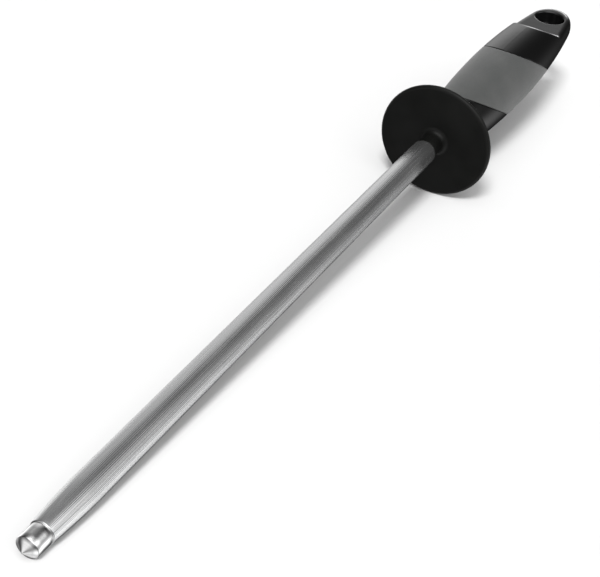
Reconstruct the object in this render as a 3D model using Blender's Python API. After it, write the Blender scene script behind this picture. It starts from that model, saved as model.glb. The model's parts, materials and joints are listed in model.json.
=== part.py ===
"""A knife sharpening steel: a ribbed rod on a pinned tang, a round finger guard and a two-material handle.

Metres, +Z up. The rod's axis is parallel to X, with the tip at +X, and the hang hole's axis is parallel
to Z. Every piece is drawn about the rod's axis, with X = 0 in the middle of the guard's disc. All of
them hang on one empty, which puts the guard's rim on Z = 0 and centres the object in X and Y.
"""

import math

import bmesh
import bpy
from mathutils import Matrix

MM = 0.001
CLEARANCE = 0.3 * MM  # left between pieces that touch

# Rod and tang
ROD_RADIUS = 4.8 * MM
ROD_TIP_X = 254.0 * MM
ROD_SHOULDER_X = 10.2 * MM
ROD_SHOULDER_ROUND = 1.0 * MM
ROD_TAPER_LENGTH = 18.0 * MM
ROD_TAPER_END_RADIUS = 3.95 * MM
SPIGOT_RADIUS = 3.65 * MM
SPIGOT_LENGTH = 6.0 * MM
CONE_LENGTH = 2.3 * MM
TANG_RADIUS = 3.0 * MM
TANG_END_X = -96.0 * MM
TANG_CHAMFER = 0.6 * MM
ROD_SEGMENTS = 48

# Finger guard
GUARD_RADIUS = 22.9 * MM
GUARD_THICKNESS = 2.6 * MM
HUB_RADIUS = 4.1 * MM
HUB_EDGE = 0.4 * MM
HUB_FILLET = 2.2 * MM
REAR_SPIGOT_RADIUS = 5.5 * MM
REAR_SPIGOT_LENGTH = 4.0 * MM
GUARD_SEGMENTS = 64

# Handle: two long arcs that meet at the belly, and a rounded nose behind them
BELLY_X = -69.0 * MM
BELLY_RADIUS = 13.9 * MM
FRONT_ARC_RADIUS = 495.0 * MM
REAR_ARC_RADIUS = 417.0 * MM
NOSE_START_X = -128.0 * MM
HANDLE_END_X = -139.3 * MM
HANDLE_EDGE = 0.6 * MM
HANDLE_SEGMENTS = 56

# Grip: a sleeve between two parallel raked seams, given by their X on the rod's axis
GRIP_FRONT_X = -38.0 * MM
GRIP_REAR_X = -87.0 * MM
SEAM_RAKE = 1.75  # metres along X for each metre of height
GRIP_THICKNESS = 2.2 * MM

# Hang lug
LUG_TOP_Z = 5.2 * MM
LUG_TOP_FOOT_X = -109.0 * MM
LUG_TOP_RAMP = math.radians(27.5)
LUG_TOP_FOOT_RADIUS = 5.0 * MM
LUG_BOTTOM_Z = -6.0 * MM
LUG_BOTTOM_FOOT_X = -115.8 * MM
LUG_BOTTOM_RAMP = math.radians(50.0)
LUG_BOTTOM_FOOT_RADIUS = 3.0 * MM
HANG_HOLE_X = -125.4 * MM
HANG_HOLE_RADIUS = 6.5 * MM
HANG_HOLE_CHAMFER = 0.6 * MM

# Tang pin
PIN_X = -64.0 * MM
PIN_RADIUS = 1.5 * MM
PIN_LENGTH = 21.0 * MM
PIN_SEGMENTS = 20

GUARD_FRONT_X = GUARD_THICKNESS / 2
GUARD_BACK_X = -GUARD_THICKNESS / 2
HANDLE_FRONT_X = GUARD_BACK_X - CLEARANCE
WAIST_DEPTH = GRIP_THICKNESS + CLEARANCE
SEAM_GAP_X = CLEARANCE * math.hypot(1.0, SEAM_RAKE)  # the clearance, measured along X
OUTSIDE = 60.0 * MM  # far outside the handle, for cutters


def material(name, colour, roughness, metallic):
    made = bpy.data.materials.new(name)
    made.use_nodes = True
    shader = made.node_tree.nodes["Principled BSDF"]
    shader.inputs["Base Color"].default_value = (*colour, 1.0)
    shader.inputs["Roughness"].default_value = roughness
    shader.inputs["Metallic"].default_value = metallic
    return made


def add_object(name, bm, look=None):
    """A mesh object on the frame empty. One with no look is a cutter, which isn't a piece."""
    bmesh.ops.remove_doubles(bm, verts=bm.verts, dist=1e-7)
    bmesh.ops.recalc_face_normals(bm, faces=bm.faces)
    mesh = bpy.data.meshes.new(name)
    bm.to_mesh(mesh)
    bm.free()
    made = bpy.data.objects.new(name, mesh)
    bpy.context.scene.collection.objects.link(made)
    made.parent = bpy.data.objects["frame"]
    if look:
        mesh.materials.append(look)
        mesh.shade_smooth()
        mesh.set_sharp_from_angle(angle=math.radians(35.0))
    else:
        made.hide_render = True
        made.display_type = "WIRE"
    return made


def turned(profile, segments, closed=False, axis=(1.0, 0.0, 0.0)):
    """A bmesh turned about X, or about Z, from (position along the axis, radius) points."""
    bm = bmesh.new()
    if axis[0]:
        ring = [bm.verts.new((along, 0.0, radius)) for along, radius in profile]
    else:
        ring = [bm.verts.new((radius, 0.0, along)) for along, radius in profile]
    ends = ring[1:] + ring[:1] if closed else ring[1:]
    edges = [bm.edges.new(pair) for pair in zip(ring, ends)]
    bmesh.ops.spin(
        bm, geom=ring + edges, cent=(0.0, 0.0, 0.0), axis=axis, angle=math.tau, steps=segments, use_merge=True
    )
    return bm


def rod_cylinder(start_x, end_x, radius, segments):
    """A closed cylinder on the rod's axis."""
    return turned([(start_x, 0.0), (start_x, radius), (end_x, radius), (end_x, 0.0)], segments)


def prism(outline):
    """A closed block that runs across the handle in Y, from an outline of (x, z) points."""
    bm = bmesh.new()
    corners = [bm.verts.new((x, -OUTSIDE, z)) for x, z in outline]
    face = bm.faces.new(corners)
    grown = bmesh.ops.extrude_face_region(bm, geom=[face])["geom"]
    moved = [item for item in grown if isinstance(item, bmesh.types.BMVert)]
    bmesh.ops.translate(bm, verts=moved, vec=(0.0, 2 * OUTSIDE, 0.0))
    return bm


def boolean(target, other, operation):
    modifier = target.modifiers.new(f"{operation.lower()}_{other.name}", "BOOLEAN")
    modifier.operation = operation
    modifier.object = other


def arc(centre, radius, start, end, steps):
    """Points on an arc in a (x, r) or (x, z) plane, with its angles in degrees."""
    angles = [math.radians(start + (end - start) * step / steps) for step in range(steps + 1)]
    return [(centre[0] + radius * math.cos(a), centre[1] + radius * math.sin(a)) for a in angles]


def handle_radius(x):
    """The handle's outer radius at x."""
    along = x - BELLY_X
    arc_radius = FRONT_ARC_RADIUS if along > 0 else REAR_ARC_RADIUS
    radius = BELLY_RADIUS - (arc_radius - math.sqrt(arc_radius**2 - along**2))
    into_nose = max(0.0, (NOSE_START_X - x) / (NOSE_START_X - HANDLE_END_X))
    return radius * math.sqrt(max(0.0, 1.0 - into_nose**2))


def stations(start_x, end_x, count):
    return [start_x + (end_x - start_x) * step / count for step in range(count + 1)]


def barrel():
    """The handle's whole outer shape, as one turned solid."""
    front = [(HANDLE_FRONT_X, 0.0), (HANDLE_FRONT_X, handle_radius(HANDLE_FRONT_X) - HANDLE_EDGE)]
    body = [(x, handle_radius(x)) for x in stations(HANDLE_FRONT_X - HANDLE_EDGE, NOSE_START_X, 15)]
    nose_length = NOSE_START_X - HANDLE_END_X
    turns = [math.sin(math.radians(angle)) for angle in (20, 37, 52, 65, 76, 84, 90)]
    nose = [(NOSE_START_X - nose_length * turn, handle_radius(NOSE_START_X - nose_length * turn)) for turn in turns]
    return turned(front + body + nose, HANDLE_SEGMENTS)


def inner_barrel(depth, front_x, rear_x):
    """A solid that follows the handle's outside at a constant depth under it."""
    sides = [(x, handle_radius(x) - depth) for x in stations(front_x, rear_x, 9)]
    return turned([(front_x, 0.0), *sides, (rear_x, 0.0)], HANDLE_SEGMENTS)


def raked_slab(inset_x):
    """The block between the two seams, with each seam moved in by inset_x."""
    bm = bmesh.new()
    front, rear = GRIP_FRONT_X - inset_x, GRIP_REAR_X + inset_x
    rake = Matrix.Identity(4)
    rake[0][2] = SEAM_RAKE
    place = Matrix.Translation(((front + rear) / 2, 0.0, 0.0))
    size = Matrix.Diagonal((front - rear, OUTSIDE, OUTSIDE, 1.0))
    bmesh.ops.create_cube(bm, size=1.0, matrix=place @ rake @ size)
    return bm


def scoop(foot_x, face_z, ramp, radius, side):
    """The block cut away over one face of the lug: a ramp down to a flat, with a round foot."""
    centre = (foot_x - radius * math.tan(ramp / 2), face_z + side * radius)
    foot = arc(centre, radius, -side * 90.0, -side * (90.0 - math.degrees(ramp)), 4)
    end_x, end_z = foot[-1]
    rise = side * OUTSIDE / 2
    far_x = end_x + (rise - end_z) / (side * math.tan(ramp))
    return prism([(HANDLE_END_X - OUTSIDE, face_z), *foot, (far_x, rise), (HANDLE_END_X - OUTSIDE, rise)])


def pin_cylinder(radius, length):
    """A closed cylinder across the handle on the pin's axis."""
    bm = bmesh.new()
    place = Matrix.Translation((PIN_X, 0.0, 0.0)) @ Matrix.Rotation(math.radians(90.0), 4, "X")
    bmesh.ops.create_cone(
        bm, cap_ends=True, segments=PIN_SEGMENTS, radius1=radius, radius2=radius, depth=length, matrix=place
    )
    return bm


def make_frame():
    """The empty that every piece hangs on."""
    frame = bpy.data.objects.new("frame", None)
    bpy.context.scene.collection.objects.link(frame)
    frame.location = (-(ROD_TIP_X + HANDLE_END_X) / 2, 0.0, GUARD_RADIUS)


def make_cutters():
    """The shapes that cut or limit the pieces, by name."""
    pin_hole = add_object("cutter_pin_hole", pin_cylinder(PIN_RADIUS + CLEARANCE, 2 * OUTSIDE))
    seam_slab = add_object("cutter_seam_slab", raked_slab(0.0))
    grip_slab = add_object("cutter_grip_slab", raked_slab(SEAM_GAP_X))
    waist = add_object("cutter_waist", inner_barrel(WAIST_DEPTH, -6.0 * MM, -118.0 * MM))
    under_grip = add_object("cutter_under_grip", inner_barrel(GRIP_THICKNESS, -1.0 * MM, -124.0 * MM))
    bore_end_x = TANG_END_X - CLEARANCE
    tang_bore = add_object(
        "cutter_tang_bore", rod_cylinder(bore_end_x, OUTSIDE, TANG_RADIUS + CLEARANCE, ROD_SEGMENTS)
    )
    recess_end_x = GUARD_BACK_X - REAR_SPIGOT_LENGTH - CLEARANCE
    recess = add_object(
        "cutter_recess", rod_cylinder(recess_end_x, OUTSIDE, REAR_SPIGOT_RADIUS + CLEARANCE, ROD_SEGMENTS)
    )
    lug_top_scoop = scoop(LUG_TOP_FOOT_X, LUG_TOP_Z, LUG_TOP_RAMP, LUG_TOP_FOOT_RADIUS, 1)
    lug_bottom_scoop = scoop(
        LUG_BOTTOM_FOOT_X, LUG_BOTTOM_Z, LUG_BOTTOM_RAMP, LUG_BOTTOM_FOOT_RADIUS, -1
    )
    top = add_object("cutter_lug_top", lug_top_scoop)
    bottom = add_object("cutter_lug_bottom", lug_bottom_scoop)
    flare = HANG_HOLE_CHAMFER + OUTSIDE
    profile = [
        (LUG_BOTTOM_Z - OUTSIDE, 0.0),
        (LUG_BOTTOM_Z - OUTSIDE, HANG_HOLE_RADIUS + flare),
        (LUG_BOTTOM_Z + HANG_HOLE_CHAMFER, HANG_HOLE_RADIUS),
        (LUG_TOP_Z - HANG_HOLE_CHAMFER, HANG_HOLE_RADIUS),
        (LUG_TOP_Z + OUTSIDE, HANG_HOLE_RADIUS + flare),
        (LUG_TOP_Z + OUTSIDE, 0.0),
    ]
    hole = add_object("cutter_hang_hole", turned(profile, 40, axis=(0.0, 0.0, 1.0)))
    hole.location.x = HANG_HOLE_X
    return {
        "pin_hole": pin_hole,
        "seam_slab": seam_slab,
        "grip_slab": grip_slab,
        "waist": waist,
        "under_grip": under_grip,
        "tang_bore": tang_bore,
        "recess": recess,
        "lug_top": top,
        "lug_bottom": bottom,
        "hang_hole": hole,
    }


def make_rod(cutters):
    """The ribbed rod with its turned tip, and the tang that runs back into the handle, in one bar."""
    cone_x = ROD_TIP_X - CONE_LENGTH
    spigot_x = cone_x - SPIGOT_LENGTH
    shoulder = (ROD_SHOULDER_X + ROD_SHOULDER_ROUND, ROD_RADIUS - ROD_SHOULDER_ROUND)
    profile = [
        (ROD_TIP_X, 0.0),
        (cone_x, SPIGOT_RADIUS),
        (spigot_x, SPIGOT_RADIUS),
        (spigot_x, ROD_TAPER_END_RADIUS),
        (spigot_x - ROD_TAPER_LENGTH * 0.55, ROD_TAPER_END_RADIUS * 0.3 + ROD_RADIUS * 0.7),
        (spigot_x - ROD_TAPER_LENGTH, ROD_RADIUS),
        *[(x, ROD_RADIUS) for x in stations(spigot_x - 3 * ROD_TAPER_LENGTH, 3 * ROD_SHOULDER_X, 3)],
        *arc(shoulder, ROD_SHOULDER_ROUND, 90.0, 180.0, 4),
        (ROD_SHOULDER_X, TANG_RADIUS),
        (TANG_END_X + TANG_CHAMFER, TANG_RADIUS),
        (TANG_END_X, TANG_RADIUS - TANG_CHAMFER),
        (TANG_END_X, 0.0),
    ]
    look = material("hard_chromed_steel", (0.56, 0.56, 0.57), 0.32, 1.0)
    rod = add_object("sharpening_rod", turned(profile, ROD_SEGMENTS), look)
    boolean(rod, cutters["pin_hole"], "DIFFERENCE")


def make_guard():
    """The round finger guard, with the hub in front of it and the spigot behind it that centres the handle."""
    bore = TANG_RADIUS + CLEARANCE
    hub_x = ROD_SHOULDER_X - CLEARANCE
    rim = GUARD_THICKNESS / 2
    spigot_x = GUARD_BACK_X - REAR_SPIGOT_LENGTH
    profile = [
        (hub_x, bore),
        *arc((hub_x - HUB_EDGE, HUB_RADIUS - HUB_EDGE), HUB_EDGE, 0.0, 90.0, 2),
        *arc((GUARD_FRONT_X + HUB_FILLET, HUB_RADIUS + HUB_FILLET), HUB_FILLET, 270.0, 180.0, 5),
        *arc((0.0, GUARD_RADIUS - rim), rim, 0.0, 180.0, 10),
        (GUARD_BACK_X, REAR_SPIGOT_RADIUS),
        (spigot_x, REAR_SPIGOT_RADIUS),
        (spigot_x, bore),
    ]
    look = material("black_guard_plastic", (0.012, 0.012, 0.011), 0.38, 0.0)
    add_object("finger_guard", turned(profile, GUARD_SEGMENTS, closed=True), look)


def make_handle_core(cutters):
    """The hard black moulding: front collar, waist under the grip, pommel and hang lug."""
    look = material("black_handle_plastic", (0.012, 0.012, 0.012), 0.22, 0.0)
    core = add_object("handle_core", barrel(), look)
    boolean(core, cutters["seam_slab"], "DIFFERENCE")
    boolean(core, cutters["waist"], "UNION")
    boolean(core, cutters["lug_top"], "DIFFERENCE")
    boolean(core, cutters["lug_bottom"], "DIFFERENCE")
    boolean(core, cutters["hang_hole"], "DIFFERENCE")
    boolean(core, cutters["recess"], "DIFFERENCE")
    boolean(core, cutters["tang_bore"], "DIFFERENCE")
    boolean(core, cutters["pin_hole"], "DIFFERENCE")


def make_grip_sleeve(cutters):
    """The soft grey sleeve moulded round the waist."""
    look = material("grey_soft_grip", (0.115, 0.118, 0.116), 0.55, 0.0)
    grip = add_object("grip_sleeve", barrel(), look)
    boolean(grip, cutters["grip_slab"], "INTERSECT")
    boolean(grip, cutters["under_grip"], "DIFFERENCE")


def make_tang_pin():
    """The cross pin that holds the tang in the handle, covered by the grip."""
    look = material("pin_steel", (0.5, 0.5, 0.5), 0.4, 1.0)
    add_object("tang_pin", pin_cylinder(PIN_RADIUS, PIN_LENGTH), look)


def main():
    for old in list(bpy.data.objects):
        bpy.data.objects.remove(old, do_unlink=True)
    make_frame()
    cutters = make_cutters()
    make_rod(cutters)
    make_guard()
    make_handle_core(cutters)
    make_grip_sleeve(cutters)
    make_tang_pin()


main()
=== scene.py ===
"""The looks of a knife sharpening steel: its surfaces, a pale floor, soft light and the camera.

Every surface of the steel is worked out in millimetres about the rod's axis, with X = 0 in the middle of the
guard's disc and +X towards the tip. in_place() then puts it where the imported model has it.
Angles round the axis start at +Y, and 90 degrees is the top.
"""

import json
import math

import bmesh
import bpy
import numpy as np
from mathutils import Euler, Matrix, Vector


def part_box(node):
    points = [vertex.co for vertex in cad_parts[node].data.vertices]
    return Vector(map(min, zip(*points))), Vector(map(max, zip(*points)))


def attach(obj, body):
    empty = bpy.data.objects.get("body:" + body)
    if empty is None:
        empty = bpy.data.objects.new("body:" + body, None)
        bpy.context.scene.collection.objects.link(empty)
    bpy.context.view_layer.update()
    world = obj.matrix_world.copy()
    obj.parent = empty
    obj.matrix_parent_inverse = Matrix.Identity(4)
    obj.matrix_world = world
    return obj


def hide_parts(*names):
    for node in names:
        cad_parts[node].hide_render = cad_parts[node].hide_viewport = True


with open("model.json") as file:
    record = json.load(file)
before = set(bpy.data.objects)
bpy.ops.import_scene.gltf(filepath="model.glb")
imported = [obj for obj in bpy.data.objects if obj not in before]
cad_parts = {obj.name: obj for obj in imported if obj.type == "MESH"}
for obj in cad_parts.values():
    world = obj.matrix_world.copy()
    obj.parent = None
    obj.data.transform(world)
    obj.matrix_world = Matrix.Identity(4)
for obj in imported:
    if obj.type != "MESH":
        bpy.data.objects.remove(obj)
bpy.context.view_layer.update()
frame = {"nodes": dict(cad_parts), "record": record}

MM = 0.001
CLEARANCE = 0.3

# Guard
GUARD_THICKNESS = 2.6
HUB_EDGE = 0.5
HUB_FILLET = 2.2
HUB_RADIUS = 4.1
TANG_RADIUS = 3.0
REAR_SPIGOT_RADIUS = 5.5
REAR_SPIGOT_EDGE = 0.4
GUARD_SEGMENTS = 180


def mount(name):
    return next(m for m in frame["record"]["mounts"] if m["name"] == name)["pos_m"]


guard_low, guard_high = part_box("finger_guard")
AXIS = Vector((
    mount("guard_front_face")[0] - GUARD_THICKNESS / 2 * MM,
    (guard_low.y + guard_high.y) / 2,
    (guard_low.z + guard_high.z) / 2,
))


def extent(node):
    """A node's lowest and highest corner, in mm about the rod's axis."""
    return [(corner - AXIS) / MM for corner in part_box(node)]


def mount_point(name):
    return (Vector(mount(name)) - AXIS) / MM


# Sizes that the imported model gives
ROD_LOW, ROD_HIGH = extent("sharpening_rod")
GUARD_LOW, GUARD_HIGH = extent("finger_guard")
CORE_LOW, CORE_HIGH = extent("handle_core")
ROD_RADIUS = ROD_HIGH.y
GUARD_RADIUS = GUARD_HIGH.y
LUG_TOP_Z = mount_point("lug_upper_face").z
LUG_BOTTOM_Z = mount_point("lug_lower_face").z
HANG_HOLE_X = mount_point("hang_hole").x

# Rod
RIBS = 64
STEPS_PER_RIB = 6
RIB_DEPTH = 0.06
RIB_SHARPNESS = 1.5  # more than 1 leaves flat lands between narrow grooves
WEAR_SEED = 11
RIB_WEAR = 0.6  # a worn groove loses up to this share of its depth
ROD_SHOULDER_ROUND = 1.0
ROD_TAPER_LENGTH = 18.0
ROD_TAPER_END_RADIUS = 3.95
ROD_TAPER_CURVE = 1.6  # 1 would be a straight cone
ROD_RINGS = 24
ROD_TAPER_STEPS = 12
ROD_END_ROUND = 0.35
SPIGOT_RADIUS = 3.65
SPIGOT_LENGTH = 6.0
SPIGOT_BREAK = 0.12  # how much both of its edges are broken
CONE_LENGTH = 2.3
TANG_CHAMFER = 0.6

# Handle
BELLY_X = -69.0
BELLY_RADIUS = 13.9
FRONT_ARC_RADIUS = 495.0
REAR_ARC_RADIUS = 417.0
NOSE_START_X = -128.0
HANDLE_EDGE = 0.6
WAIST_DEPTH = 2.5
COLLAR_FACE_RADIUS = 9.0  # a ring of points on the flat front of the collar
BORE_END_X = ROD_LOW.x - CLEARANCE

# Grip and its raked seams
GRIP_FRONT_X = -38.0
GRIP_REAR_X = -87.0
SEAM_RAKE = 1.75
GRIP_THICKNESS = 2.2
GRIP_EDGE = 0.45
CORE_SEAM_EDGE = 0.3
SEAM_GAP = 0.15

# Hang lug: (height, foot, ramp angle, foot radius) of each face, the heights from the axis
LUG_TOP = (LUG_TOP_Z, -109.0, math.radians(27.5), 5.0)
LUG_BOTTOM = (-LUG_BOTTOM_Z, -115.8, math.radians(50.0), 3.0)
LUG_EDGE = 1.6
LUG_UNDER_EDGE = 0.8
CREST_EDGE = 0.5
TOP_BLEND = (-105.0, 8.0)  # where the crest's edge starts to turn into the lug's, and over what length
BOTTOM_BLEND = (-112.0, 6.0)
HANG_HOLE_RADIUS = 6.5
HANG_HOLE_ROUND = 0.8
# The handle's points are closer together round these angles
LUG_CORNERS = np.radians([33.0, 147.0, 213.0, 327.0])
CORNER_WIDTH = math.radians(13.0)
CORNER_DENSITY = 1.5

# Tang pin
PIN_X = -64.0
PIN_RADIUS = 1.5

PARTING_HEIGHT = 0.02
PARTING_HALF_ANGLE = math.radians(1.0)
PARTING_END_X = -92.0
PARTING_FADE = 2.0

HANDLE_SEGMENTS = 150
COLLAR_RINGS = 40
GRIP_RINGS = 60
POMMEL_RINGS = 120
NOSE_STEPS = 16
INNER_RINGS = 10  # on the surfaces that the grip hides
PIN_SEGMENTS = 24
HOLE_SEGMENTS = 96
CUTTER_REACH = 10.0  # about how far a cutter runs past the handle
SOLVER_STEPS = 34  # halvings in the search for the pommel's surface
SEAM_STEPS = 40  # repeats until a seam's points settle


# ---------------------------------------------------------------- meshes

def in_place(points):
    return np.asarray(points, float) * MM + np.array(AXIS)


def mesh_object(name, points, faces):
    mesh = bpy.data.meshes.new(name)
    mesh.from_pydata(in_place(points).tolist(), [], faces)
    made = bpy.data.objects.new(name, mesh)
    bpy.context.scene.collection.objects.link(made)
    outward(mesh)
    return made


def outward(mesh):
    """Turns every face to point out."""
    bm = bmesh.new()
    bm.from_mesh(mesh)
    bmesh.ops.recalc_face_normals(bm, faces=bm.faces)
    bm.to_mesh(mesh)
    bm.free()


def ring(x, radius, angles):
    """Points round the axis. x and radius are one number, or one for each angle."""
    x = np.broadcast_to(x, angles.shape)
    return np.stack([x, radius * np.cos(angles), radius * np.sin(angles)], axis=1)


def skin(name, rings, poles=None):
    """A closed mesh over rings of equal length. It ends in two poles on the axis, or closes on itself."""
    count = len(rings[0])
    points = np.concatenate(rings)
    following = [*range(1, count), 0]
    last = len(rings) if poles is None else len(rings) - 1
    faces = []
    for i in range(last):
        here, there = i * count, (i + 1) % len(rings) * count
        faces += [(here + j, here + k, there + k, there + j) for j, k in enumerate(following)]
    if poles is not None:
        start, end = len(points), len(points) + 1
        points = np.concatenate([points, [[poles[0], 0, 0], [poles[1], 0, 0]]])
        far = (len(rings) - 1) * count
        faces += [(start, k, j) for j, k in enumerate(following)]
        faces += [(end, far + j, far + k) for j, k in enumerate(following)]
    return mesh_object(name, points, faces)


def arc(centre, radius, start, end, steps):
    """Points on an arc in an (x, radius) plane, from the start angle to the end angle in degrees."""
    angles = np.radians(np.linspace(start, end, steps + 1))
    return [(centre[0] + radius * math.cos(a), centre[1] + radius * math.sin(a)) for a in angles]


def even(segments):
    return np.arange(segments) * math.tau / segments


def cut(piece, cutter):
    """Takes the cutter away from the piece, and removes the cutter."""
    modifier = piece.modifiers.new("cut", "BOOLEAN")
    modifier.object = cutter
    modifier.operation = "DIFFERENCE"
    graph = bpy.context.evaluated_depsgraph_get()
    made = bpy.data.meshes.new_from_object(piece.evaluated_get(graph))
    piece.modifiers.remove(modifier)
    old = piece.data
    piece.data = made
    made.name = piece.name
    bpy.data.meshes.remove(old)
    bpy.data.objects.remove(cutter, do_unlink=True)


def finish_piece(piece, node, materials, sharp_angle=35.0):
    """Shades the piece, gives it its materials and has it stand for its CAD node."""
    piece.data.materials.clear()
    for material in materials:
        piece.data.materials.append(material)
    piece.data.shade_smooth()
    piece.data.set_sharp_from_angle(angle=math.radians(sharp_angle))
    weighted = piece.modifiers.new("weighted_normals", "WEIGHTED_NORMAL")
    weighted.keep_sharp = True
    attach(piece, "root")
    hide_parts(node)


# ---------------------------------------------------------------- rod

def pin_cutter():
    """The clearance hole for the tang pin, across the handle."""
    count = PIN_SEGMENTS
    angles = even(count)
    radius = PIN_RADIUS + CLEARANCE
    x = PIN_X + radius * np.cos(angles)
    z = radius * np.sin(angles)
    reach = BELLY_RADIUS + CUTTER_REACH
    across = [np.stack([x, np.full(count, y), z], axis=1) for y in (-reach, reach)]
    sides = [(j, (j + 1) % count, count + (j + 1) % count, count + j) for j in range(count)]
    caps = [tuple(range(count)), tuple(range(count, 2 * count))]
    return mesh_object("pin_cutter", np.concatenate(across), sides + caps)


def groove_depths():
    """How deep each groove is, at its own angle round the rod."""
    steps = np.arange(RIBS * STEPS_PER_RIB)
    wear = 1.0 - RIB_WEAR * np.random.default_rng(WEAR_SEED).random(RIBS)
    into_groove = np.cos(steps * math.pi / STEPS_PER_RIB) ** 2
    nearest = (steps + STEPS_PER_RIB // 2) // STEPS_PER_RIB % RIBS
    return RIB_DEPTH * into_groove**RIB_SHARPNESS * wear[nearest]


def rod_profile():
    """(x, radius, share of the groove depth) along the bar, from the tang's end to the tip."""
    shoulder_x = GUARD_HIGH.x + CLEARANCE
    shoulder = (shoulder_x + ROD_SHOULDER_ROUND, ROD_RADIUS - ROD_SHOULDER_ROUND)
    cone_x = ROD_HIGH.x - CONE_LENGTH
    spigot_x = cone_x - SPIGOT_LENGTH
    taper_x = spigot_x - ROD_TAPER_LENGTH
    profile = [(ROD_LOW.x, TANG_RADIUS - TANG_CHAMFER, 0.0), (ROD_LOW.x + TANG_CHAMFER, TANG_RADIUS, 0.0)]
    profile += [(x, TANG_RADIUS, 0.0) for x in np.linspace(ROD_LOW.x + 6.0, shoulder_x - 2.0, 8)]
    profile += [(shoulder_x, TANG_RADIUS, 0.0)]
    rounding = arc(shoulder, ROD_SHOULDER_ROUND, 180.0, 90.0, 6)
    profile += [(x, radius, i / 6.0) for i, (x, radius) in enumerate(rounding)]
    profile += [(x, ROD_RADIUS, 1.0) for x in np.linspace(shoulder[0] + 6.0, taper_x, ROD_RINGS)]
    for share in np.linspace(0.0, 1.0, ROD_TAPER_STEPS + 1)[1:-1]:
        radius = ROD_RADIUS - (ROD_RADIUS - ROD_TAPER_END_RADIUS) * share**ROD_TAPER_CURVE
        profile.append((taper_x + ROD_TAPER_LENGTH * share, radius, 1.0 - 0.4 * share))
    end = (spigot_x - ROD_END_ROUND, ROD_TAPER_END_RADIUS - ROD_END_ROUND)
    for i, (x, radius) in enumerate(arc(end, ROD_END_ROUND, 90.0, 10.0, 4)):
        profile.append((x, radius + 0.02, 0.6 - 0.15 * i))
    profile += [(spigot_x, SPIGOT_RADIUS - SPIGOT_BREAK, 0.0), (spigot_x + 0.25, SPIGOT_RADIUS, 0.0)]
    profile += [(spigot_x + 2.0, SPIGOT_RADIUS, 0.0), (spigot_x + 4.0, SPIGOT_RADIUS, 0.0)]
    profile += [(cone_x - 0.15, SPIGOT_RADIUS, 0.0), (cone_x + 0.1, SPIGOT_RADIUS - SPIGOT_BREAK, 0.0)]
    cone = [(share, SPIGOT_RADIUS * (1.0 - share)) for share in (0.3, 0.6, 0.85, 0.95)]
    profile += [(cone_x + CONE_LENGTH * share, radius, 0.0) for share, radius in cone]
    return profile


def make_rod(materials):
    angles = even(RIBS * STEPS_PER_RIB)
    depths = groove_depths()
    rings = [ring(x, radius - depths * share, angles) for x, radius, share in rod_profile()]
    rod = skin("ribbed_bar", rings, poles=(ROD_LOW.x, ROD_HIGH.x))
    turned_x = AXIS.x + (ROD_HIGH.x - CONE_LENGTH - SPIGOT_LENGTH - 0.05) * MM
    rod.data.materials.append(materials[0])
    rod.data.materials.append(materials[1])
    cut(rod, pin_cutter())
    finish_piece(rod, "sharpening_rod", materials, sharp_angle=50.0)
    for face in rod.data.polygons:
        face.material_index = int(face.center.x > turned_x)
    return rod


# ---------------------------------------------------------------- guard

def make_guard(material):
    bore = TANG_RADIUS + CLEARANCE
    rim = GUARD_THICKNESS / 2
    back = -GUARD_THICKNESS / 2
    fillet = (rim + HUB_FILLET, HUB_RADIUS + HUB_FILLET)
    hub_edge = (GUARD_HIGH.x - HUB_EDGE, HUB_RADIUS - HUB_EDGE)
    rear_edge = (GUARD_LOW.x + REAR_SPIGOT_EDGE, REAR_SPIGOT_RADIUS - REAR_SPIGOT_EDGE)
    profile = [
        (GUARD_HIGH.x, bore),
        *arc(hub_edge, HUB_EDGE, 0.0, 90.0, 4),
        *[(x, HUB_RADIUS) for x in np.linspace(hub_edge[0], fillet[0], 5)[1:-1]],
        *arc(fillet, HUB_FILLET, 270.0, 180.0, 8),
        *[(rim, radius) for radius in np.linspace(fillet[1], GUARD_RADIUS - rim, 8)[1:-1]],
        *arc((0.0, GUARD_RADIUS - rim), rim, 0.0, 180.0, 18),
        *[(back, radius) for radius in np.linspace(GUARD_RADIUS - rim, REAR_SPIGOT_RADIUS, 8)[1:]],
        *arc(rear_edge, REAR_SPIGOT_EDGE, 90.0, 180.0, 3),
        (GUARD_LOW.x, bore),
        (back, bore),
        (rim, bore),
    ]
    angles = even(GUARD_SEGMENTS)
    guard = skin("moulded_guard", [ring(x, radius, angles) for x, radius in profile])
    finish_piece(guard, "finger_guard", [material])
    return guard


# ---------------------------------------------------------------- handle surfaces

def handle_angles():
    """Angles round the handle: closer together at the lug's corners and on the mould's parting line."""
    fine = np.linspace(0.0, math.tau, 7201)
    density = np.ones_like(fine)
    for corner in LUG_CORNERS:
        density += CORNER_DENSITY * np.exp(-(((fine - corner) / CORNER_WIDTH) ** 2))
    total = np.cumsum(density)
    picked = np.interp(np.arange(HANDLE_SEGMENTS) / HANDLE_SEGMENTS * total[-1], total, fine)
    lines = np.radians([90.0, 270.0])
    near = np.abs(picked[:, None] - lines).min(axis=1) < 1.7 * PARTING_HALF_ANGLE
    extra = [line + share * PARTING_HALF_ANGLE for line in lines for share in (-1.0, -0.5, 0.0, 0.5, 1.0)]
    return np.sort(np.concatenate([picked[~near], extra]))


def handle_radius(x):
    """The handle's outer radius at x: two long arcs that meet at the belly, and a rounded nose."""
    x = np.asarray(x, float)
    along = x - BELLY_X
    arc_radius = np.where(along > 0, FRONT_ARC_RADIUS, REAR_ARC_RADIUS)
    radius = BELLY_RADIUS - (arc_radius - np.sqrt(arc_radius**2 - along**2))
    into_nose = np.clip((NOSE_START_X - x) / (NOSE_START_X - CORE_LOW.x), 0.0, 1.0)
    return radius * np.sqrt(1.0 - into_nose**2)


def smooth_step(value):
    value = np.clip(value, 0.0, 1.0)
    return value * value * (3.0 - 2.0 * value)


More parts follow.
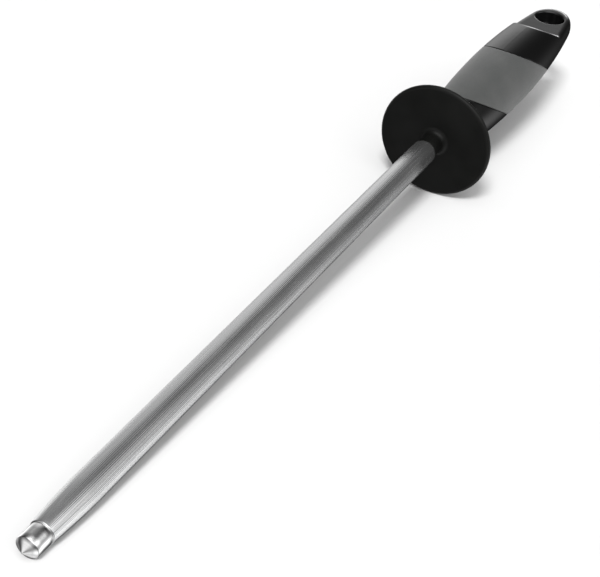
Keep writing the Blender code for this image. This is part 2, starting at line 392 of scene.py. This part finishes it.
def lug_face(x, height, foot_x, ramp, foot_radius):
    """How far a lug face, with its ramp and round foot, is from the axis at x, and its slope's cosine."""
    arc_start = foot_x - foot_radius * math.tan(ramp / 2)
    arc_length = foot_radius * math.sin(ramp)
    into = np.clip(x - arc_start, 0.0, arc_length)
    rise = foot_radius - np.sqrt(foot_radius**2 - into**2)
    rise = rise + np.maximum(x - arc_start - arc_length, 0.0) * math.tan(ramp)
    return height + rise, np.sqrt(1.0 - (into / foot_radius) ** 2)


def pommel_radius(x, angles):
    """The pommel's and lug's radius at x and each angle: the barrel between two faces, edges rounded."""
    barrel = handle_radius(x)
    slope = (handle_radius(np.maximum(x - 0.01, CORE_LOW.x)) - barrel) / 0.01
    lean = 1.0 / np.sqrt(1.0 + slope**2)
    top, top_lean = lug_face(x, *LUG_TOP)
    bottom, bottom_lean = lug_face(x, *LUG_BOTTOM)
    upper = smooth_step(0.5 + 2.0 * np.sin(angles))
    on_top = smooth_step((TOP_BLEND[0] - x) / TOP_BLEND[1])
    on_bottom = smooth_step((BOTTOM_BLEND[0] - x) / BOTTOM_BLEND[1])
    on_lug = on_top * upper + on_bottom * (1.0 - upper)
    lug_edge = LUG_UNDER_EDGE + (LUG_EDGE - LUG_UNDER_EDGE) * upper
    edge = CREST_EDGE + (lug_edge - CREST_EDGE) * on_lug
    low, high = np.zeros_like(barrel), barrel
    for _ in range(SOLVER_STEPS):
        middle = (low + high) / 2
        height = middle * np.sin(angles)
        past_barrel = (middle - barrel) * lean
        past_top = (height - top) * top_lean
        past_bottom = (-height - bottom) * bottom_lean
        gaps = np.stack([past_barrel, past_top, past_bottom])
        rounded = np.sqrt((np.maximum(gaps + edge, 0.0) ** 2).sum(axis=0))
        outside = np.minimum(-edge, gaps.max(axis=0)) + rounded > 0
        low, high = np.where(outside, low, middle), np.where(outside, middle, high)
    return (low + high) / 2


def parting_ridge(x, angles):
    """The height of the fine line that the mould's halves leave along the top and the bottom."""
    off = np.minimum(np.abs(angles - math.pi / 2), np.abs(angles - 3 * math.pi / 2))
    ridge = np.cos(np.clip(off / PARTING_HALF_ANGLE, 0.0, 1.0) * math.pi / 2) ** 2
    return PARTING_HEIGHT * ridge * smooth_step((x - PARTING_END_X) / PARTING_FADE)


def seam(seam_x, angles, depth=0.0, offset=0.0):
    """x and radius of a line by a raked seam: depth under the barrel, and offset square to the seam."""
    along = offset * np.hypot(1.0, SEAM_RAKE * np.sin(angles))
    x = np.full_like(angles, seam_x)
    for _ in range(SEAM_STEPS):
        radius = handle_radius(x) - depth
        x = seam_x + SEAM_RAKE * radius * np.sin(angles) + along
    return x, radius


def seam_edge(seam_x, angles, edge, side, gap=0.0, steps=4):
    """Rings over the rounded edge at a seam, from the outer surface to the seam's wall. side is +1 or -1."""
    rings = []
    for a in np.radians(np.linspace(0.0, 90.0, steps + 1)):
        offset = side * (gap + edge * (1.0 - math.sin(a)))
        rings.append(seam(seam_x, angles, edge * (1.0 - math.cos(a)), offset))
    return rings


def between(start, end, count):
    """Lines of x between two such lines, without the lines themselves."""
    return [start + (end - start) * share for share in np.linspace(0.0, 1.0, count + 2)[1:-1]]


# ---------------------------------------------------------------- handle pieces

def core_rings(angles):
    """The hard moulding's surface, from the tang bore's blind end out to the front, and back to the nose."""
    front = CORE_HIGH.x
    bore = TANG_RADIUS + CLEARANCE
    recess = REAR_SPIGOT_RADIUS + CLEARANCE
    recess_x = GUARD_LOW.x - CLEARANCE
    inside = [(BORE_END_X, bore), (-60.0, bore), (-30.0, bore), (recess_x, bore)]
    inside += [(recess_x, recess), (front, recess), (front, COLLAR_FACE_RADIUS)]
    rings = [ring(x, radius, angles) for x, radius in inside]
    for a in np.radians(np.linspace(0.0, 90.0, 5)):
        x = front - HANDLE_EDGE * (1.0 - math.cos(a))
        radius = handle_radius(x) - HANDLE_EDGE * (1.0 - math.sin(a))
        rings.append(ring(x, radius, angles))
    collar_edge = seam_edge(GRIP_FRONT_X, angles, CORE_SEAM_EDGE, 1)
    pommel_edge = seam_edge(GRIP_REAR_X, angles, CORE_SEAM_EDGE, -1)[::-1]
    collar_start = np.full_like(angles, front - HANDLE_EDGE - 0.3)
    for x in [collar_start, *between(collar_start, collar_edge[0][0], COLLAR_RINGS)]:
        rings.append(ring(x, handle_radius(x) + parting_ridge(x, angles), angles))
    rings += [ring(x, radius, angles) for x, radius in collar_edge]
    waist_start = seam(GRIP_FRONT_X, angles, WAIST_DEPTH)
    waist_end = seam(GRIP_REAR_X, angles, WAIST_DEPTH)
    rings.append(ring(*waist_start, angles))
    for x in between(waist_start[0], waist_end[0], INNER_RINGS):
        rings.append(ring(x, handle_radius(x) - WAIST_DEPTH, angles))
    rings.append(ring(*waist_end, angles))
    rings += [ring(x, np.minimum(radius, pommel_radius(x, angles)), angles) for x, radius in pommel_edge]
    nose_start = np.full_like(angles, NOSE_START_X)
    for x in [*between(pommel_edge[-1][0], nose_start, POMMEL_RINGS), nose_start]:
        rings.append(ring(x, pommel_radius(x, angles) + parting_ridge(x, angles), angles))
    nose_length = NOSE_START_X - CORE_LOW.x
    for a in np.radians(np.linspace(0.0, 90.0, NOSE_STEPS + 1)[1:-1]):
        x = np.full_like(angles, NOSE_START_X - nose_length * math.sin(a))
        rings.append(ring(x, pommel_radius(x, angles), angles))
    return rings


def hole_cutter():
    """The hang hole's cutter: straight in the middle, and flaring round both rims of the hole."""
    count = HOLE_SEGMENTS
    flat = HANG_HOLE_RADIUS + HANG_HOLE_ROUND
    top = LUG_TOP_Z - HANG_HOLE_ROUND
    bottom = LUG_BOTTOM_Z + HANG_HOLE_ROUND
    upper = []
    for a in np.radians(np.linspace(0.0, 80.0, 9)):
        upper.append((flat - HANG_HOLE_ROUND * math.cos(a), top + HANG_HOLE_ROUND * math.sin(a)))
    lower = [(radius, bottom - (z - top)) for radius, z in reversed(upper)]
    flare = HANG_HOLE_ROUND + 0.08
    reach = CUTTER_REACH + 2.0
    below = [(flat + 1.0, bottom - reach), (flat + 0.6, bottom - flare)]
    above = [(flat + 0.6, top + flare), (flat + 1.0, top + reach)]
    profile = [*below, *lower, *upper, *above]
    angles = even(count) + math.pi / count  # no corner lies on the handle's middle line
    points = []
    for radius, z in profile:
        x = HANG_HOLE_X + radius * np.cos(angles)
        points.append(np.stack([x, radius * np.sin(angles), np.full(count, z)], axis=1))
    faces = []
    for i in range(len(profile) - 1):
        here, there = i * count, (i + 1) * count
        for j in range(count):
            k = (j + 1) % count
            faces.append((here + j, here + k, there + k, there + j))
    faces += [tuple(range(count)), tuple(range((len(profile) - 1) * count, len(profile) * count))]
    return mesh_object("hole_cutter", np.concatenate(points), faces)


def make_core(material):
    angles = handle_angles()
    core = skin("moulded_core", core_rings(angles), poles=(BORE_END_X, CORE_LOW.x))
    cut(core, pin_cutter())
    cut(core, hole_cutter())
    finish_piece(core, "handle_core", [material])
    return core


def make_grip(material):
    """The soft sleeve: outer surface, rounded edges at both seams, and the inner surface under it."""
    angles = handle_angles()
    front_edge = seam_edge(GRIP_FRONT_X, angles, GRIP_EDGE, -1, SEAM_GAP)
    rear_edge = seam_edge(GRIP_REAR_X, angles, GRIP_EDGE, 1, SEAM_GAP)
    rings = [ring(x, radius, angles) for x, radius in reversed(front_edge)]
    for x in between(front_edge[0][0], rear_edge[0][0], GRIP_RINGS):
        rings.append(ring(x, handle_radius(x), angles))
    rings += [ring(x, radius, angles) for x, radius in rear_edge]
    inner_rear = seam(GRIP_REAR_X, angles, GRIP_THICKNESS, SEAM_GAP)
    inner_front = seam(GRIP_FRONT_X, angles, GRIP_THICKNESS, -SEAM_GAP)
    rings.append(ring(*inner_rear, angles))
    for x in between(inner_rear[0], inner_front[0], INNER_RINGS):
        rings.append(ring(x, handle_radius(x) - GRIP_THICKNESS, angles))
    rings.append(ring(*inner_front, angles))
    grip = skin("soft_sleeve", rings)
    finish_piece(grip, "grip_sleeve", [material])
    return grip


# ---------------------------------------------------------------- materials

def new_material(name, colour, metallic, roughness, **sockets):
    """A Principled material, its node tree and its shader. Other sockets go by name, _ for a space."""
    material = bpy.data.materials.new(name)
    material.use_nodes = True
    tree = material.node_tree
    shader = tree.nodes["Principled BSDF"]
    shader.inputs["Base Color"].default_value = (*colour, 1.0)
    shader.inputs["Metallic"].default_value = metallic
    shader.inputs["Roughness"].default_value = roughness
    for socket, value in sockets.items():
        shader.inputs[socket.replace("_", " ")].default_value = value
    return material, tree, shader


def add_node(tree, kind, links=(), **values):
    """A node. Values are given by input name, _ for a space, and links as {input name: output}."""
    made = tree.nodes.new(kind)
    for socket, value in values.items():
        if socket.islower():
            setattr(made, socket, value)
        else:
            made.inputs[socket.replace("_", " ")].default_value = value
    for socket, output in dict(links).items():
        tree.links.new(output, made.inputs[socket])
    return made


def maths(tree, operation, first, second=None):
    """A Math node's output. Each of its values is a float or another node's output."""
    made = add_node(tree, "ShaderNodeMath", operation=operation)
    for socket, value in zip(made.inputs, (first, second)):
        if isinstance(value, float):
            socket.default_value = value
        elif value is not None:
            tree.links.new(value, socket)
    return made.outputs[0]


def noise(tree, scale, stretch=(1.0, 1.0, 1.0), detail=4.0, roughness=0.55):
    """A noise in object space, in features per metre. Less than 1 in stretch draws it out along that axis."""
    place = add_node(tree, "ShaderNodeTexCoord")
    mapped = add_node(tree, "ShaderNodeMapping", {"Vector": place.outputs["Object"]}, Scale=stretch)
    made = add_node(tree, "ShaderNodeTexNoise", {"Vector": mapped.outputs["Vector"]},
                    Scale=scale, Detail=detail, Roughness=roughness)
    return made.outputs["Fac"]


def ranged(tree, value, low, high, start=0.3, end=0.7):
    """The value, spread from start..end to low..high."""
    made = add_node(tree, "ShaderNodeMapRange", {"Value": value})
    for socket, number in (("From Min", start), ("From Max", end), ("To Min", low), ("To Max", high)):
        made.inputs[socket].default_value = number
    return made.outputs["Result"]


def bumped(tree, height, distance, strength=1.0, under=None):
    """A bump normal from a height, with distance in metres, on top of another bump if one is given."""
    links = {"Height": height}
    if under is not None:
        links["Normal"] = under
    made = add_node(tree, "ShaderNodeBump", links, Strength=strength, Distance=distance)
    return made.outputs["Normal"]


def tinted(tree, value, dark, light):
    """A colour between two, by the value."""
    made = add_node(tree, "ShaderNodeMix", data_type="RGBA")
    tree.links.new(value, made.inputs["Factor"])
    made.inputs[6].default_value = (*dark, 1.0)
    made.inputs[7].default_value = (*light, 1.0)
    return made.outputs[2]


def ribbed_steel():
    """Hard-chromed steel: streaks along the ribs in colour, roughness and relief."""
    material, tree, shader = new_material("ribbed_steel", (0.6, 0.6, 0.61), 0.93, 0.34)
    streaks = noise(tree, 2600.0, (0.02, 1.0, 1.0), 6.0, 0.65)
    patches = noise(tree, 160.0, (0.25, 1.0, 1.0), 3.0)
    bands = noise(tree, 700.0, (0.02, 1.0, 1.0), 2.0)
    shade = maths(tree, "MULTIPLY", ranged(tree, streaks, 0.4, 1.0), ranged(tree, bands, 0.35, 1.0))
    colour = tinted(tree, shade, (0.5, 0.505, 0.515), (0.69, 0.69, 0.685))
    tree.links.new(colour, shader.inputs["Base Color"])
    rough = maths(tree, "ADD", ranged(tree, streaks, 0.15, 0.27), ranged(tree, patches, -0.04, 0.06))
    tree.links.new(rough, shader.inputs["Roughness"])
    tree.links.new(bumped(tree, streaks, 0.00002), shader.inputs["Normal"])
    return material


def turned_steel():
    """The bright turned tip: fine tool marks round the axis."""
    material, tree, shader = new_material("turned_steel", (0.72, 0.72, 0.72), 1.0, 0.16)
    marks = noise(tree, 9000.0, (1.0, 0.03, 0.03), 3.0)
    tree.links.new(ranged(tree, marks, 0.1, 0.24), shader.inputs["Roughness"])
    tree.links.new(bumped(tree, marks, 0.000012), shader.inputs["Normal"])
    return material


def guard_plastic():
    """Black satin plastic with a fine spark-eroded grain."""
    black = (0.0055, 0.0055, 0.005)
    material, tree, shader = new_material("guard_plastic", black, 0.0, 0.45, Specular_IOR_Level=0.2)
    grain = noise(tree, 5200.0, detail=3.0)
    clouds = noise(tree, 130.0, detail=3.0)
    tree.links.new(ranged(tree, clouds, 0.4, 0.52), shader.inputs["Roughness"])
    colour = tinted(tree, ranged(tree, clouds, 0.0, 1.0), (0.0043, 0.0045, 0.004), (0.0062, 0.0064, 0.0058))
    tree.links.new(colour, shader.inputs["Base Color"])
    tree.links.new(bumped(tree, grain, 0.00003), shader.inputs["Normal"])
    return material


def handle_plastic():
    """Black polished plastic: faint waviness from the mould, and light rubbing that dulls it in patches."""
    black = (0.0065, 0.0065, 0.0065)
    material, tree, shader = new_material("handle_plastic", black, 0.0, 0.12, Specular_IOR_Level=0.4)
    rubbing = noise(tree, 420.0, (0.4, 1.0, 1.0), 5.0, 0.6)
    waves = noise(tree, 240.0, detail=2.0)
    grain = noise(tree, 4200.0, detail=2.0)
    tree.links.new(ranged(tree, rubbing, 0.06, 0.12), shader.inputs["Roughness"])
    under = bumped(tree, waves, 0.00004)
    tree.links.new(bumped(tree, grain, 0.000006, 1.0, under), shader.inputs["Normal"])
    return material


def soft_grip():
    """Grey soft-touch elastomer: a dense matt grain, with slightly uneven colour."""
    sheen = {"Sheen_Weight": 0.3, "Sheen_Roughness": 0.4}
    material, tree, shader = new_material("soft_grip", (0.08, 0.083, 0.081), 0.0, 0.6, **sheen)
    grain = noise(tree, 3600.0, detail=4.0, roughness=0.6)
    clouds = noise(tree, 90.0, detail=4.0)
    colour = tinted(tree, ranged(tree, clouds, 0.0, 1.0), (0.07, 0.074, 0.072), (0.09, 0.092, 0.09))
    tree.links.new(colour, shader.inputs["Base Color"])
    tree.links.new(ranged(tree, grain, 0.5, 0.68), shader.inputs["Roughness"])
    tree.links.new(bumped(tree, grain, 0.00005), shader.inputs["Normal"])
    return material


def ground_steel():
    """Plain ground steel for the hidden cross pin."""
    material, tree, shader = new_material("ground_steel", (0.5, 0.5, 0.5), 1.0, 0.4)
    marks = noise(tree, 5000.0, (1.0, 0.05, 1.0), 3.0)
    tree.links.new(ranged(tree, marks, 0.3, 0.5), shader.inputs["Roughness"])
    return material


# ---------------------------------------------------------------- floor, lights and camera

REST_TIP_X = ROD_HIGH.x - CONE_LENGTH
FLOOR_TILT = math.atan2(GUARD_RADIUS - SPIGOT_RADIUS, REST_TIP_X)
FLOOR_SIZE = 60.0  # metres
FLOOR_COLOUR = (0.5, 0.5, 0.5)
LAMP_SHARPNESS = 14.0
NARROW_LAMP_SHARPNESS = 150.0
# Each lamp: azimuth and elevation in degrees, and brightness
STUDIO_LAMPS = (
    (0.0, 80.0, 3.5),  # overhead
    (45.0, 50.0, 3.5),  # above the camera, to its right
    (105.0, 30.0, 2.0),  # right
    (0.0, 5.0, 1.0),  # in front, low
    (-30.0, 5.0, 1.0),  # in front to the left, low
    (-150.0, 5.0, 0.7),  # behind to the left, low
    (-150.0, 30.0, 0.7),  # behind to the left, higher
    (-110.0, -15.0, 2.0),  # left and below, for the rod's left edge
    (120.0, -30.0, 2.2),  # right and below, for the rod's right edge
    (45.0, -40.0, 1.7),  # in front to the right and below
    (0.0, -80.0, 1.0),  # beneath
    (-170.0, 8.0, 4.5, NARROW_LAMP_SHARPNESS),  # low behind the handle, for the lug's foot
)
SHADOW_LAMP_TOWARDS = Vector((0.7, 0.14, 1.0))
SHADOW_LAMP_ANGLE = math.radians(14.0)
SHADOW_LAMP_ENERGY = 4.2
WALL_BRIGHTNESS = 1.05
# The camera's place is in metres from the middle of the guard, and its turn is in degrees
CAMERA_OFFSET = Vector((0.4348, 0.15137, 0.26132))
CAMERA_TURN = (53.227, -5.452, 118.893)
CAMERA_LENS = 81.085
SENSOR_WIDTH = 36.0


def make_floor():
    """A plain pale floor. It tilts, because the steel rests on its guard's rim and on its tip."""
    half = FLOOR_SIZE / 2
    mesh = bpy.data.meshes.new("floor")
    corners = [(-half, -half, 0), (half, -half, 0), (half, half, 0), (-half, half, 0)]
    mesh.from_pydata(corners, [], [(0, 1, 2, 3)])
    floor = bpy.data.objects.new("floor", mesh)
    bpy.context.scene.collection.objects.link(floor)
    floor.location = (AXIS.x, AXIS.y, AXIS.z - GUARD_RADIUS * MM)
    floor.rotation_euler = (0.0, -FLOOR_TILT, 0.0)
    material, tree, shader = new_material("pale_floor", FLOOR_COLOUR, 0.0, 0.7)
    clouds = noise(tree, 6.0, detail=2.0)
    tree.links.new(ranged(tree, clouds, 0.65, 0.75), shader.inputs["Roughness"])
    mesh.materials.append(material)
    # The steel neither reflects the floor nor takes light from it, and lamps shine up through it.
    floor.visible_diffuse = False
    floor.visible_glossy = False
    floor.visible_shadow = False
    return floor


def soft_lamp(tree, azimuth, elevation, strength, sharpness=LAMP_SHARPNESS):
    """The brightness of a round soft lamp in one direction, seen from the steel."""
    place = add_node(tree, "ShaderNodeTexCoord")
    ray = add_node(tree, "ShaderNodeVectorMath", operation="NORMALIZE")
    tree.links.new(place.outputs["Generated"], ray.inputs[0])
    towards = add_node(tree, "ShaderNodeVectorMath", operation="DOT_PRODUCT")
    tree.links.new(ray.outputs["Vector"], towards.inputs[0])
    turn, rise = math.radians(azimuth), math.radians(elevation)
    across = math.cos(rise)
    towards.inputs[1].default_value = (across * math.cos(turn), across * math.sin(turn), math.sin(rise))
    off_axis = maths(tree, "SUBTRACT", towards.outputs["Value"], 1.0)
    glow = maths(tree, "EXPONENT", maths(tree, "MULTIPLY", off_axis, sharpness))
    return maths(tree, "MULTIPLY", glow, strength)


def make_shadow_lamp(floor):
    """A broad lamp above that lights only the floor, and so draws the steel's soft shadow on it."""
    data = bpy.data.lights.new("shadow_lamp", "SUN")
    data.angle = SHADOW_LAMP_ANGLE
    data.energy = SHADOW_LAMP_ENERGY
    lamp = bpy.data.objects.new("shadow_lamp", data)
    bpy.context.scene.collection.objects.link(lamp)
    lamp.rotation_euler = SHADOW_LAMP_TOWARDS.to_track_quat("Z", "Y").to_euler()
    lit = bpy.data.collections.new("lit_by_shadow_lamp")
    lit.objects.link(floor)
    lamp.light_linking.receiver_collection = lit


def make_world():
    """A studio of soft lamps all round. The camera itself sees a plain pale wall behind the floor."""
    world = bpy.data.worlds.new("studio")
    bpy.context.scene.world = world
    world.use_nodes = True
    tree = world.node_tree
    lamps = tree.nodes["Background"]
    first, *others = STUDIO_LAMPS
    total = soft_lamp(tree, *first)
    for lamp in others:
        total = maths(tree, "ADD", total, soft_lamp(tree, *lamp))
    lamps.inputs["Color"].default_value = (1.0, 1.0, 1.0, 1.0)
    tree.links.new(total, lamps.inputs["Strength"])
    wall = add_node(tree, "ShaderNodeBackground", Color=(1.0, 1.0, 1.0, 1.0), Strength=WALL_BRIGHTNESS)
    path = add_node(tree, "ShaderNodeLightPath")
    seen = add_node(tree, "ShaderNodeMixShader")
    tree.links.new(path.outputs["Is Camera Ray"], seen.inputs[0])
    tree.links.new(lamps.outputs[0], seen.inputs[1])
    tree.links.new(wall.outputs[0], seen.inputs[2])
    tree.links.new(seen.outputs[0], tree.nodes["World Output"].inputs["Surface"])


def make_camera():
    data = bpy.data.cameras.new("camera")
    data.sensor_fit = "HORIZONTAL"
    data.sensor_width = SENSOR_WIDTH
    data.lens = CAMERA_LENS
    data.clip_start = 0.01
    data.clip_end = 50.0
    camera = bpy.data.objects.new("camera", data)
    bpy.context.scene.collection.objects.link(camera)
    camera.location = AXIS + CAMERA_OFFSET
    camera.rotation_euler = Euler([math.radians(a) for a in CAMERA_TURN])
    bpy.context.scene.camera = camera


def main():
    make_camera()
    make_shadow_lamp(make_floor())
    make_world()
    make_rod([ribbed_steel(), turned_steel()])
    make_guard(guard_plastic())
    make_core(handle_plastic())
    make_grip(soft_grip())
    pin = frame["nodes"]["tang_pin"]
    pin.data.materials.clear()
    pin.data.materials.append(ground_steel())
    bpy.context.scene.view_settings.view_transform = "Standard"


main()
